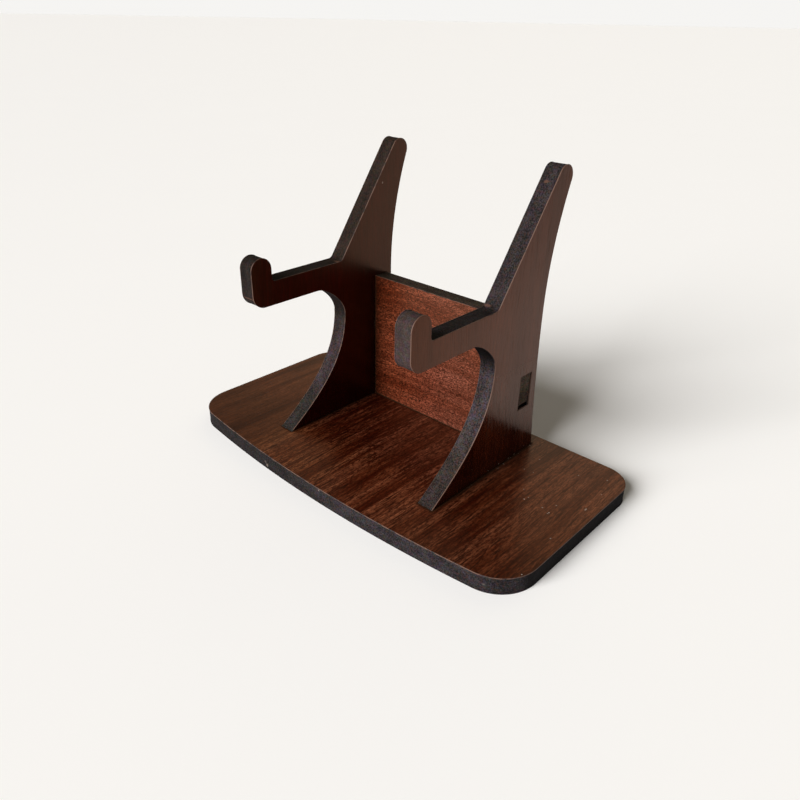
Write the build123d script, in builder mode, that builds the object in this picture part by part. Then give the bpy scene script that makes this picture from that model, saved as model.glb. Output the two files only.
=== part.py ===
"""Desk stand for one game controller: four flat boards that slot together without fasteners.

Two upright brackets stand on a base plate, and a back panel holds them apart. The controller lies on
the brackets' arms, behind their hooks, and leans on their uprights.

Frame: millimetres, +Z up, front towards -Y, origin under the middle of the base plate.
"""
import os
from math import cos, hypot, radians, sin, tan

from build123d import *

# Board that all four pieces are cut from
board = 6.0
clearance = 0.1  # play on each side of a tab in its slot
tab_recess = 0.4  # how far a tab's end stays under the face that it comes through

# Base plate, seen from above
base_width = 151.0
base_depth = 78.2
front_bow = 5.6  # how far the front edge bulges at the middle
front_corner_radius = 14.0
rear_corner_radius = 10.0

# Brackets: clear width between them
bracket_gap = 62.4

# Bracket outline: setbacks are measured forwards from the base's rear edge, heights from its top
heel_setback = 5.9
foot_length = 55.5
waist_setback = 8.7  # where the rear edge comes furthest forward
waist_height = 51.4
stem_width = 24.5  # from the waist forwards to the throat
upright_setback = 34.2  # where the upright's front edge meets the arm
upright_lean = 35.4  # degrees from the vertical
upright_height = 97.9
tip_radius = 3.75

# Arm and its hook
arm_height = 59.1  # top of the arm, which carries the controller
arm_width = 8.2
hook_inner_setback = 65.2
hook_width = 8.1
hook_height = 8.5  # above the arm
hook_chin_radius = 4.7
hook_root_radius = 1.2
upright_root_radius = 2.0

# Notch under the arm, from the arm's underside round the throat to the toe
notch_setback = 45.9  # where the arm's underside starts to turn down
throat_drop = 11.6  # throat's height under the arm
notch_lead = 4.0
throat_lead_up = 5.4
throat_lead_down = 17.9
toe_lead = 17.9
toe_angle = 34.0  # degrees between the toe's edge and the base

# Bracket tabs in the base plate: distances from the heel forwards to each tab's middle
foot_tab_length = 12.0
foot_tab_distances = (13.0, 38.0)

# Back panel
panel_setback = 11.4  # from the base's rear edge to the panel's back
panel_height = 50.0
tab_rise = 19.6  # from the base's top to the underside of the end tabs
tab_height = 11.2
tab_play = 1.0  # spare height of the bracket's slot under the tab

# Places worked out from the sizes
rear_edge = base_depth / 2
base_top = board
heel = rear_edge - heel_setback
panel_middle = rear_edge - panel_setback - board / 2
tab_middle = base_top + tab_rise + tab_height / 2
tab_reach = board - tab_recess
foot_tab_middles = [heel - distance for distance in foot_tab_distances]
bracket_inner_faces = {"left_bracket": -bracket_gap / 2 - board, "right_bracket": bracket_gap / 2}


def bracket_outline():
    """Draws the bracket's closed outline above the base, in y and z, starting at the toe."""
    toe = (heel - foot_length, base_top)
    waist = (rear_edge - waist_setback, base_top + waist_height)
    arm_top = base_top + arm_height
    arm_under = arm_top - arm_width
    throat = (waist[0] - stem_width, arm_under - throat_drop)
    notch_start = (rear_edge - notch_setback, arm_under)
    hook_back = rear_edge - hook_inner_setback
    hook_front = hook_back - hook_width
    hook_top = arm_top + hook_height
    hook_shoulder = hook_top - hook_width / 2
    upright_root = (rear_edge - upright_setback, arm_top)

    # The tip is an arc that touches the leaning front edge and the rear sweep
    lean = radians(upright_lean)
    tip_z = base_top + upright_height - tip_radius
    tip_y = upright_root[0] + (tip_z - arm_top) * tan(lean) + tip_radius / cos(lean)
    tip_front = (tip_y - tip_radius * cos(lean), tip_z + tip_radius * sin(lean))

    # The upper rear sweep is an arc that is vertical at the waist and touches the tip
    tip_back_run = tip_y - waist[0]
    tip_rise = tip_z - waist[1]
    sweep_radius = (tip_back_run**2 + tip_rise**2 - tip_radius**2) / (2 * (tip_back_run + tip_radius))
    to_centre = (sweep_radius - tip_back_run, -tip_rise)
    centre_distance = hypot(*to_centre)
    tip_back = (
        tip_y + tip_radius * to_centre[0] / centre_distance,
        tip_z + tip_radius * to_centre[1] / centre_distance,
    )

    toe_slope = radians(toe_angle)
    toe_guide = (toe[0] + toe_lead * cos(toe_slope), toe[1] + toe_lead * sin(toe_slope))
    Bezier(toe, toe_guide, (throat[0], throat[1] - throat_lead_down), throat)
    Bezier(
        throat,
        (throat[0], throat[1] + throat_lead_up),
        (notch_start[0] + notch_lead, arm_under),
        notch_start,
    )
    FilletPolyline(
        notch_start,
        (hook_front, arm_under),
        (hook_front, hook_shoulder),
        radius=hook_chin_radius,
    )
    ThreePointArc(
        (hook_front, hook_shoulder),
        (hook_front + hook_width / 2, hook_top),
        (hook_back, hook_shoulder),
    )
    FilletPolyline(
        (hook_back, hook_shoulder),
        (hook_back, arm_top),
        upright_root,
        tip_front,
        radius=[hook_root_radius, upright_root_radius],
    )
    ThreePointArc(tip_front, (tip_y, tip_z + tip_radius), tip_back)
    TangentArc(waist, tip_back, tangent=(0, 1))
    TangentArc(waist, (heel, base_top), tangent=(0, -1))
    Line((heel, base_top), toe)


os.makedirs("parts", exist_ok=True)

# Base plate: bowed front, straight back, and a through slot for every bracket tab
with BuildPart() as base_plate:
    with BuildSketch():
        with BuildLine():
            side_front = front_bow - base_depth / 2
            front_arc = ThreePointArc(
                (-base_width / 2, side_front),
                (0, -base_depth / 2),
                (base_width / 2, side_front),
            )
            Polyline(
                front_arc @ 1,
                (base_width / 2, rear_edge),
                (-base_width / 2, rear_edge),
                front_arc @ 0,
            )
        make_face()
        fillet(vertices().group_by(Axis.Y)[0], front_corner_radius)
        fillet(vertices().group_by(Axis.Y)[-1], rear_corner_radius)
        slot_places = [
            (inner_face + board / 2, middle)
            for inner_face in bracket_inner_faces.values()
            for middle in foot_tab_middles
        ]
        with Locations(*slot_places):
            Rectangle(board + 2 * clearance, foot_tab_length + 2 * clearance, mode=Mode.SUBTRACT)
    extrude(amount=board)
base_plate.part.label = "base_plate"
export_step(base_plate.part, "parts/base_plate.step")

# Brackets: the same board twice, with tabs under the foot and a slot for the back panel
for name, inner_face in bracket_inner_faces.items():
    with BuildPart() as bracket:
        with BuildSketch(Plane.YZ.offset(inner_face)):
            with BuildLine():
                bracket_outline()
            make_face()
            with Locations(*[(middle, base_top - tab_reach / 2) for middle in foot_tab_middles]):
                Rectangle(foot_tab_length, tab_reach)
            with Locations((panel_middle, tab_middle - tab_play / 2)):
                Rectangle(
                    board + 2 * clearance,
                    tab_height + tab_play + 2 * clearance,
                    mode=Mode.SUBTRACT,
                )
        extrude(amount=board)
    bracket.part.label = name
    export_step(bracket.part, f"parts/{name}.step")

# Back panel: stands on the base between the brackets, its end tabs in their slots
with BuildPart() as back_panel:
    with BuildSketch(Plane.XZ.offset(-panel_middle - board / 2)):
        with Locations((0, base_top + panel_height / 2)):
            Rectangle(bracket_gap, panel_height)
        with Locations((0, tab_middle)):
            Rectangle(bracket_gap + 2 * tab_reach, tab_height)
    extrude(amount=board)
back_panel.part.label = "back_panel"
export_step(back_panel.part, "parts/back_panel.step")
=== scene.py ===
"""Dresses a slot-together desk stand for one game controller.

Four flat boards, cut by laser from walnut-faced fibreboard: a bowed base, two hooked brackets and the back
panel between them. Each board is one surface: an edge profile carried along the board's closed outlines,
with the two faces filled between them.

Metres, +Z up, front towards -Y, as in the frame.
"""

from math import cos, hypot, pi, radians, sin, tan

import bpy
import numpy as np
from bpy.props import FloatProperty, FloatVectorProperty, PointerProperty
from mathutils import Euler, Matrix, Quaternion, Vector
from mathutils.geometry import delaunay_2d_cdt


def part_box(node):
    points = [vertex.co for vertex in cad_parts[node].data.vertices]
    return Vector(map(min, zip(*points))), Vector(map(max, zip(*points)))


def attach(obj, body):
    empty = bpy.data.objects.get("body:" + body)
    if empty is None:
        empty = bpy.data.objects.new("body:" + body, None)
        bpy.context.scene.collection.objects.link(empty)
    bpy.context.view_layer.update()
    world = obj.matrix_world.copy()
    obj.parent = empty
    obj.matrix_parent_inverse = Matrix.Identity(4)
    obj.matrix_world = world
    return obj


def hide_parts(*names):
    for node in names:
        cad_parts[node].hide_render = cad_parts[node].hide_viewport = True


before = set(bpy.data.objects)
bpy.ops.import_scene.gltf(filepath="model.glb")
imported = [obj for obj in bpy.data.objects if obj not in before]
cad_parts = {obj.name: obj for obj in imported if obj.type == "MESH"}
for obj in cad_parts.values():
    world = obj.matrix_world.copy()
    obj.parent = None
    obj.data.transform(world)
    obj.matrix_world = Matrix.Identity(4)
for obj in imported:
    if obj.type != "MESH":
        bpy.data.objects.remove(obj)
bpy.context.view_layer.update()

bl_info = {
    "name": "Game Controller Stand",
    "version": (1, 0, 0),
    "blender": (4, 5, 0),
    "location": "View3D > Sidebar > Stand",
    "description": "Boards, finishes and studio of a slot-together desk stand",
    "category": "Add Mesh",
}

BASE_LOW, BASE_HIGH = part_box("base_plate")
RIGHT_LOW, RIGHT_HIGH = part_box("right_bracket")
PANEL_LOW, PANEL_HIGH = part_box("back_panel")

RUN_MAP = "board_run"  # length along the edge and depth from the first face, in metres
ARC_POINTS = 97
ARRIS_STEPS = 3
CORE_ROWS = 8
STEP_DEPTH = 0.00003  # depth of the step from the facing sheet back to the burnt core
SHARP_ANGLE = radians(35)
SAME_POINT = 1e-7
MERGED_POINTS = 1e-5  # in millimetres
INSIDE_WITH_HOLES = 2  # the triangulation's output that keeps holes open
ORIGIN = (0.0, 0.0, 0.0)
FAR = 1.0  # beyond every board
EVERYWHERE = (-FAR, FAR)
BLACK = (0.0, 0.0, 0.0, 1.0)
SHADE_COLOUR = (0.004, 0.0012, 0.0008, 1.0)


def length_property(name, description, default):
    """A size in metres, shown to a hundredth of a millimetre."""
    return place_property(name, description, default, min=0.0)


def place_property(name, description, default, **limits):
    """A place along an axis, in metres."""
    return FloatProperty(
        name=name,
        description=description,
        default=default,
        precision=5,
        subtype="DISTANCE",
        unit="LENGTH",
        **limits,
    )


def angle_property(name, description, default):
    """An angle, given in degrees and kept in radians."""
    return FloatProperty(
        name=name, description=description, default=radians(default), subtype="ANGLE", unit="ROTATION"
    )


def colour_property(name, description, default):
    """A linear colour, opaque."""
    return FloatVectorProperty(
        name=name,
        description=description,
        default=(*default, 1.0),
        min=0.0,
        max=1.0,
        size=4,
        subtype="COLOR",
    )


class BoardSettings(bpy.types.PropertyGroup):
    """The board that every piece is cut from, and what the laser leaves of its edge"""

    thickness: length_property("Thickness", "Thickness of the board", BASE_HIGH.z - BASE_LOW.z)
    clearance: length_property("Clearance", "Play on each side of a tab in its slot", 0.0001)
    tab_recess: length_property("Tab recess", "How far a tab's end stays under the face", 0.0004)
    arris: length_property("Arris", "Radius worn on the border of each face", 0.0001)
    facing: length_property("Facing", "Thickness of the walnut facing sheet", 0.0003)
    scorch: length_property("Scorch", "How far the core is burnt back behind the facing", 0.00008)
    ripple: length_property("Ripple", "Depth of the laser's ripple in the core", 0.00005)
    ripple_pitch: length_property("Ripple pitch", "Distance between ripples along the edge", 0.0007)
    outline_step: length_property("Outline step", "Distance between points along an outline", 0.0003)


class BaseSettings(bpy.types.PropertyGroup):
    """The base's outline"""

    width: length_property("Width", "Width from side to side", BASE_HIGH.x - BASE_LOW.x)
    depth: length_property("Depth", "Depth from front to back", BASE_HIGH.y - BASE_LOW.y)
    front_bow: length_property("Front bow", "How far the front bulges at the middle", 0.0056)
    front_corner: length_property("Front corner", "Radius of the front corners", 0.014)
    rear_corner: length_property("Rear corner", "Radius of the rear corners", 0.010)


class BracketSettings(bpy.types.PropertyGroup):
    """The bracket's outline: setbacks forwards from the base's rear edge, heights from the base's top"""

    inner_face: length_property("Inner face", "From the middle to a bracket's inner face", RIGHT_LOW.x)
    heel_setback: length_property("Heel setback", "Rear end of the foot", 0.0059)
    foot_length: length_property("Foot length", "From heel to toe", 0.0555)
    waist_setback: length_property("Waist setback", "Where the rear edge comes furthest forward", 0.0087)
    waist_height: length_property("Waist height", "Height of the waist", 0.0514)
    stem_width: length_property("Stem width", "From the waist forwards to the throat", 0.0245)
    upright_setback: length_property("Upright setback", "Where the upright meets the arm", 0.0342)
    upright_lean: angle_property("Upright lean", "Lean of the upright's front edge", 35.4)
    upright_height: length_property("Upright height", "Height of the tip", RIGHT_HIGH.z - BASE_HIGH.z)
    tip_radius: length_property("Tip radius", "Radius of the rounded tip", 0.00375)
    arm_height: length_property("Arm height", "Height of the arm's top", 0.0591)
    arm_width: length_property("Arm width", "Height of the arm's section", 0.0082)
    hook_inner_setback: length_property("Hook setback", "Rear side of the hook", 0.0652)
    hook_width: length_property("Hook width", "Width of the hook", 0.0081)
    hook_height: length_property("Hook height", "Height of the hook over the arm", 0.0085)
    hook_chin_radius: length_property("Chin radius", "Radius under the hook", 0.0047)
    hook_root_radius: length_property("Hook root radius", "Radius between hook and arm", 0.0012)
    upright_root_radius: length_property("Upright root radius", "Radius between arm and upright", 0.002)
    notch_setback: length_property("Notch setback", "Where the arm's underside turns down", 0.0459)
    throat_drop: length_property("Throat drop", "Height of the throat under the arm", 0.0116)
    notch_lead: length_property("Notch lead", "Pull of the curve at the arm", 0.004)
    throat_lead_up: length_property("Throat lead up", "Pull of the curve above the throat", 0.0054)
    throat_lead_down: length_property("Throat lead down", "Pull of the curve below the throat", 0.0179)
    toe_lead: length_property("Toe lead", "Pull of the curve at the toe", 0.0179)
    toe_angle: angle_property("Toe angle", "Angle between the toe's edge and the base", 34.0)
    foot_tab_length: length_property("Foot tab length", "Length of each tab under the foot", 0.012)
    first_foot_tab: length_property("First foot tab", "From the heel to the rear tab's middle", 0.013)
    second_foot_tab: length_property("Second foot tab", "From the heel to the front tab's middle", 0.038)


class PanelSettings(bpy.types.PropertyGroup):
    """The back panel and its end tabs"""

    height: length_property("Height", "Height above the base", PANEL_HIGH.z - PANEL_LOW.z)
    front: place_property("Front", "Place of the panel's front face", PANEL_LOW.y)
    tab_rise: length_property("Tab rise", "From the base's top to the tabs' underside", 0.0196)
    tab_height: length_property("Tab height", "Height of the end tabs", 0.0112)
    tab_play: length_property("Tab play", "Spare height of the slot under the tab", 0.001)


class FinishSettings(bpy.types.PropertyGroup):
    """Colours and gloss of the boards"""

    walnut_deep: colour_property("Walnut deep", "Darkest streaks of the walnut", (0.018, 0.0021, 0.0006))
    walnut_middle: colour_property("Walnut middle", "Body colour of the walnut", (0.047, 0.0100, 0.0031))
    walnut_bright: colour_property("Walnut bright", "Palest streaks of the walnut", (0.098, 0.0310, 0.0140))
    walnut_roughness: FloatProperty(
        name="Walnut roughness",
        description="Roughness of the satin walnut faces",
        default=0.28,
        min=0.0,
        max=1.0,
        subtype="FACTOR",
    )
    facing: colour_property("Facing", "Cut side of the facing sheet", (0.088, 0.044, 0.029))
    soot: colour_property("Soot", "Darkest part of the charred edge", (0.0050, 0.0042, 0.0040))
    ash: colour_property("Ash", "Palest part of the charred edge", (0.034, 0.0290, 0.0330))
    umber: colour_property("Umber", "Brown grains of the charred edge", (0.032, 0.0165, 0.0120))
    dust: colour_property("Dust", "Specks of dust on the boards", (0.40, 0.33, 0.28))


class StudioSettings(bpy.types.PropertyGroup):
    """Floor, light and camera"""

    floor_half: length_property("Floor half size", "Half the side of the floor", 60.0)
    floor_colour: colour_property("Floor colour", "Pale floor", (0.93, 0.93, 0.93))
    window_strength: FloatProperty(
        name="Window strength", description="Light of the window on a face towards it", default=6.2, min=0.0
    )
    window_colour: colour_property("Window colour", "Colour of the window's light", (1.0, 0.985, 0.965))
    window_azimuth: angle_property("Window azimuth", "Window's place, to the left of the front", 9.0)
    window_elevation: angle_property("Window elevation", "Window's height over the horizon", 26.0)
    window_width: angle_property("Window width", "How wide the window seems from the stand", 40.0)
    horizon_colour: colour_property("Horizon colour", "Sky at the horizon", (0.92, 0.90, 0.88))
    dim_colour: colour_property("Dim colour", "Sky at the horizon on the right", (0.30, 0.28, 0.26))
    wall_pale_colour: colour_property("Pale wall colour", "Lit wall towards the right", (0.64, 0.58, 0.43))
    wall_colour: colour_property("Wall colour", "Lit wall behind", (0.66, 0.50, 0.31))
    room_colour: colour_property("Room colour", "Dim room on the other sides", (0.09, 0.085, 0.08))
    backdrop_colour: colour_property("Backdrop colour", "What the camera sees as sky", (0.92, 0.91, 0.89))
    wall_azimuth: angle_property("Wall azimuth", "Middle of the lit wall, to the left of the back", 5.0)
    camera_place: FloatVectorProperty(
        name="Camera place",
        description="Where the camera stands",
        default=(0.14736, -0.15912, 0.14117),
        size=3,
        precision=5,
        subtype="TRANSLATION",
        unit="LENGTH",
    )
    camera_azimuth: angle_property("Camera azimuth", "Camera's turn round the stand", 42.327)
    camera_elevation: angle_property("Camera elevation", "Camera's height over the horizon", 28.639)
    camera_roll: angle_property("Camera roll", "Camera's tilt to one side", 1.109)
    camera_lens: FloatProperty(
        name="Camera lens", description="Focal length", default=31.412, subtype="DISTANCE_CAMERA"
    )


def arc(centre, radius, start, sweep):
    """Points on a circle: the centre plus radius times cos and sin of an angle that runs over the sweep."""
    angle = start + sweep * np.linspace(0, 1, ARC_POINTS)
    return np.column_stack([centre[0] + radius * np.cos(angle), centre[1] + radius * np.sin(angle)])


def arc_between(centre, start, end):
    """The shorter arc round a centre from one point to another."""
    spokes = np.array([start, end], float) - centre
    first, last = np.arctan2(spokes[:, 1], spokes[:, 0])
    sweep = (last - first + pi) % (2 * pi) - pi
    return arc(centre, hypot(*spokes[0]), first, sweep)


def rounded_corner(before, corner, after, radius):
    """The arc that touches both sides of a corner: its centre is on the bisector, radius over the sine of
    half the corner's angle away from the corner."""
    before, corner, after = (np.array(point, float) for point in (before, corner, after))
    back = (before - corner) / hypot(*(before - corner))
    ahead = (after - corner) / hypot(*(after - corner))
    half = np.arccos(np.clip(back @ ahead, -1, 1)) / 2
    bisector = (back + ahead) / hypot(*(back + ahead))
    touch = radius / tan(half)
    centre = corner + bisector * radius / sin(half)
    return arc_between(centre, corner + back * touch, corner + ahead * touch)


def leaving_arc(start, direction, end):
    """The arc that leaves the start along a direction and ends at the end: its centre is where the start's
    normal meets the chord's bisector."""
    chord = np.subtract(end, start)
    normal = np.array([-direction[1], direction[0]])
    radius = (chord @ chord) / (2 * (chord @ normal))
    return arc_between(start + normal * radius, start, end)


def cubic(start, guide, end_guide, end):
    """The cubic curve with two guides. With t from 0 to 1 and s for 1 - t, the points' weights are s cubed,
    3 s squared t, 3 s t squared and t cubed."""
    t = np.linspace(0, 1, ARC_POINTS)[:, None]
    start, guide, end_guide, end = (np.array(point, float) for point in (start, guide, end_guide, end))
    return (1 - t) ** 3 * start + 3 * (1 - t) ** 2 * t * guide + 3 * (1 - t) * t**2 * end_guide + t**3 * end


def rectangle(middle, size):
    """The four sides of a rectangle."""
    half = np.array(size) / 2
    corners = middle + half * np.array([[-1, -1], [1, -1], [1, 1], [-1, 1]])
    return [np.array([corners[i], corners[(i + 1) % 4]]) for i in range(4)]


def join_sides(sides):
    """Adds the straight sides that are missing between one side's end and the next one's start."""
    joined = []
    for side, following in zip(sides, sides[1:] + sides[:1]):
        joined.append(side)
        if hypot(*(following[0] - side[-1])) > SAME_POINT:
            joined.append(np.array([side[-1], following[0]]))
    return joined


def even_loop(sides, step, hole=False):
    """Spaces each side's points evenly by length, so that every corner stays, and turns the loop
    anticlockwise, or clockwise for a hole."""
    spaced = []
    for side in sides:
        length = np.concatenate([[0], np.cumsum(np.hypot(*np.diff(side, axis=0).T))])
        places = np.linspace(0, length[-1], max(1, round(length[-1] / step)) + 1)[:-1]
        spaced.append(np.column_stack([np.interp(places, length, side[:, axis]) for axis in (0, 1)]))
    loop = np.vstack(spaced)
    following = np.roll(loop, -1, axis=0)
    anticlockwise = (loop[:, 0] * following[:, 1] - following[:, 0] * loop[:, 1]).sum() > 0
    return loop if anticlockwise != hole else loop[::-1]


def moved_inward(loop, inset):
    """Moves each point inwards by its inset, measured square to both sides beside it: along the sum of
    their normals over one plus the cosine between them. Near a corner under 60 degrees the inset is at most
    a quarter of the way to it, so that the corner's sides never cross."""
    ahead = np.roll(loop, -1, axis=0) - loop
    ahead /= np.hypot(*ahead.T)[:, None]
    normal = np.column_stack([-ahead[:, 1], ahead[:, 0]])
    earlier = np.roll(normal, 1, axis=0)
    spread = 1 + (normal * earlier).sum(1)
    sharp_corners = loop[spread < 0.5]
    if len(sharp_corners):
        away = np.linalg.norm(loop[:, None] - sharp_corners, axis=2).min(1)
        inset = np.minimum(inset, away / 4)
    return loop + inset[..., None] * (normal + earlier) / spread[:, None]


def edge_profile(board):
    """Rings from one face to the other, as depths and insets: a quarter round at each arris, the facing
    sheet's side, and the core, which starts a scorch behind it."""
    turn = np.linspace(0, pi / 2, ARRIS_STEPS + 1)
    depth = board.arris * (1 - np.cos(turn))
    inset = board.arris * (1 - np.sin(turn))
    core_start = board.facing + STEP_DEPTH
    core = np.linspace(core_start, board.thickness - core_start, CORE_ROWS)
    depths = [depth, [board.facing], core, [board.thickness - board.facing], board.thickness - depth[::-1]]
    insets = [inset, [0.0], np.full(CORE_ROWS, board.scorch), [0.0], inset[::-1]]
    is_core = np.concatenate([np.full(len(part), i == 2) for i, part in enumerate(depths)])
    return np.concatenate(depths), np.concatenate(insets), is_core


def ripples(run, length, pitch, rows, generator):
    """Heights from 0 to 1 along a closed run: a random value every pitch, eased by half a cosine between
    neighbours, each row a blend of two such runs."""
    knots = max(4, round(length / pitch))
    values = generator.random((2, knots))
    place = run / length * knots
    left = place.astype(int) % knots
    ease = (1 - np.cos(pi * (place % 1))) / 2
    pair = values[:, left] * (1 - ease) + values[:, (left + 1) % knots] * ease
    share = np.linspace(0, 1, rows)[:, None]
    return pair[0] * (1 - share) + pair[1] * share


def face_triangles(points, counts):
    """Anticlockwise Delaunay triangles inside the first rim and outside the others: points are the rims'
    points one after another, counts how many each rim has."""
    ends = np.cumsum(counts)
    rims = [list(range(end - count, end)) for end, count in zip(ends, counts)]
    millimetres = [Vector(1000 * point) for point in points]
    corners, _, triangles, *_ = delaunay_2d_cdt(
        millimetres, [], rims, INSIDE_WITH_HOLES, MERGED_POINTS
    )
    if len(corners) != len(points):
        raise RuntimeError("a rim of this board crosses itself")
    return np.array(triangles)


def board_walls(loops, board, place, profile, generator):
    """The walls round every loop: its points, moved inwards by the profile's inset at every ring, make a
    grid of ring by point. Gives the points in space, the faces and their corners' places in the run map."""
    depth, inset, is_core = profile
    points, faces, maps = [], [], []
    start = 0
    for loop in loops:
        count = len(loop)
        steps = np.hypot(*(np.roll(loop, -1, axis=0) - loop).T)
        run = np.concatenate([[0], np.cumsum(steps)])
        insets = np.repeat(inset[:, None], count, axis=1)
        rows = ripples(run[:-1], run[-1], board.ripple_pitch, CORE_ROWS, generator)
        insets[is_core] += board.ripple * rows
        grid = moved_inward(loop, insets)
        points.append(place(grid[..., 0], grid[..., 1], depth[:, None] + 0 * insets).reshape(-1, 3))
        ring, point = np.mgrid[0 : len(depth) - 1, 0:count]
        following = (point + 1) % count
        corners = [(ring, point, point), (ring, following, point + 1)]
        corners += [(ring + 1, following, point + 1), (ring + 1, point, point)]
        faces.append(np.stack([start + r * count + p for r, p, _ in corners], -1).reshape(-1, 4))
        places = [np.stack([run[along], depth[r]], -1) for r, _, along in corners]
        maps.append(np.stack(places, 2).reshape(-1, 2))
        start += len(depth) * count
    return np.vstack(points), np.vstack(faces), np.vstack(maps)


def board_fills(loops, inset):
    """The two faces, which close the first ring and the last one: their triangles between the loops, and
    the triangles' corners in the board's plane."""
    counts = [len(loop) for loop in loops]
    starts = len(inset) * (np.cumsum(counts) - counts)
    fills, maps = [], []
    for ring, turned in ((0, True), (len(inset) - 1, False)):
        rims = [start + ring * count + np.arange(count) for start, count in zip(starts, counts)]
        flat = np.vstack([moved_inward(loop, inset[ring]) for loop in loops])
        triangles = face_triangles(flat, counts)
        if turned:
            triangles = triangles[:, ::-1]
        fills.append(np.concatenate(rims)[triangles])
        maps.append(flat[triangles].reshape(-1, 2))
    return np.vstack(fills), np.vstack(maps)


def board_slots(board, depth, loops, fills):
    """Each face's material: walnut 0 on the fills, and far facing 1, core 2 or near facing 3 on the walls."""
    middle = (depth[1:] + depth[:-1]) / 2
    in_facing = np.minimum(middle, board.thickness - middle) < board.facing
    band_slot = np.where(in_facing, np.where(middle < board.thickness / 2, 1, 3), 2)
    walls = [np.repeat(band_slot, len(loop)) for loop in loops]
    return np.concatenate(walls + [np.zeros(len(fills), int)])


def board_piece(name, node, loops, place, board, materials, seed):
    """One board: walls round its closed loops, and two fills between them. place turns a point of the
    board's own plane and a depth into a point in space."""
    profile = edge_profile(board)
    depth, inset, _ = profile
    generator = np.random.default_rng(seed)
    points, walls, wall_map = board_walls(loops, board, place, profile, generator)
    fills, fill_map = board_fills(loops, inset)
    slots = board_slots(board, depth, loops, fills)
    mesh = bpy.data.meshes.new(name)
    mesh.from_pydata(points.tolist(), [], walls.tolist() + fills.tolist())
    run_map = mesh.uv_layers.new(name=RUN_MAP)
    run_map.data.foreach_set("uv", np.vstack([wall_map, fill_map]).astype(np.float32).ravel())
    mesh.polygons.foreach_set("material_index", slots.astype(np.int32))
    for material in materials:
        mesh.materials.append(material)
    mesh.set_sharp_from_angle(angle=SHARP_ANGLE)
    mesh.polygons.foreach_set("use_smooth", np.arange(len(slots)) < len(walls))
    mesh.update()
    piece = bpy.data.objects.new(name, mesh)
    bpy.context.scene.collection.objects.link(piece)
    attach(piece, "root")
    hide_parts(node)


def foot_tab_middles(base, bracket):
    """Middles of the two tabs under a bracket's foot, from back to front."""
    heel = base.depth / 2 - bracket.heel_setback
    return [heel - bracket.first_foot_tab, heel - bracket.second_foot_tab]


def base_loops(board, base, bracket):
    """The base's outline, an arc in front and three straight sides with rounded corners, and four slots."""
    half_width, rear = base.width / 2, base.depth / 2
    side_front = base.front_bow - rear
    bow_radius = (half_width**2 + base.front_bow**2) / (2 * base.front_bow)
    bow_centre = np.array([0.0, bow_radius - rear])
    corner_x = half_width - base.front_corner
    corner_run = bow_radius - base.front_corner
    corner_y = bow_centre[1] - (corner_run**2 - corner_x**2) ** 0.5
    front_right = np.array([corner_x, corner_y])
    front_left = front_right * (-1, 1)
    touch_right = bow_centre + (front_right - bow_centre) * bow_radius / corner_run
    touch_left = touch_right * (-1, 1)
    rear_right, rear_left = (half_width, rear), (-half_width, rear)
    outline = [
        arc_between(bow_centre, touch_left, touch_right),
        arc_between(front_right, touch_right, front_right + (base.front_corner, 0)),
        rounded_corner((half_width, side_front), rear_right, rear_left, base.rear_corner),
        rounded_corner(rear_right, rear_left, (-half_width, side_front), base.rear_corner),
        arc_between(front_left, front_left - (base.front_corner, 0), touch_left),
    ]
    middle = bracket.inner_face + board.thickness / 2
    slot = (board.thickness + 2 * board.clearance, bracket.foot_tab_length + 2 * board.clearance)
    places = foot_tab_middles(base, bracket)
    slots = [rectangle((side * middle, place), slot) for side in (-1, 1) for place in places]
    step = board.outline_step
    return [even_loop(join_sides(outline), step)] + [even_loop(sides, step, hole=True) for sides in slots]


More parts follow.
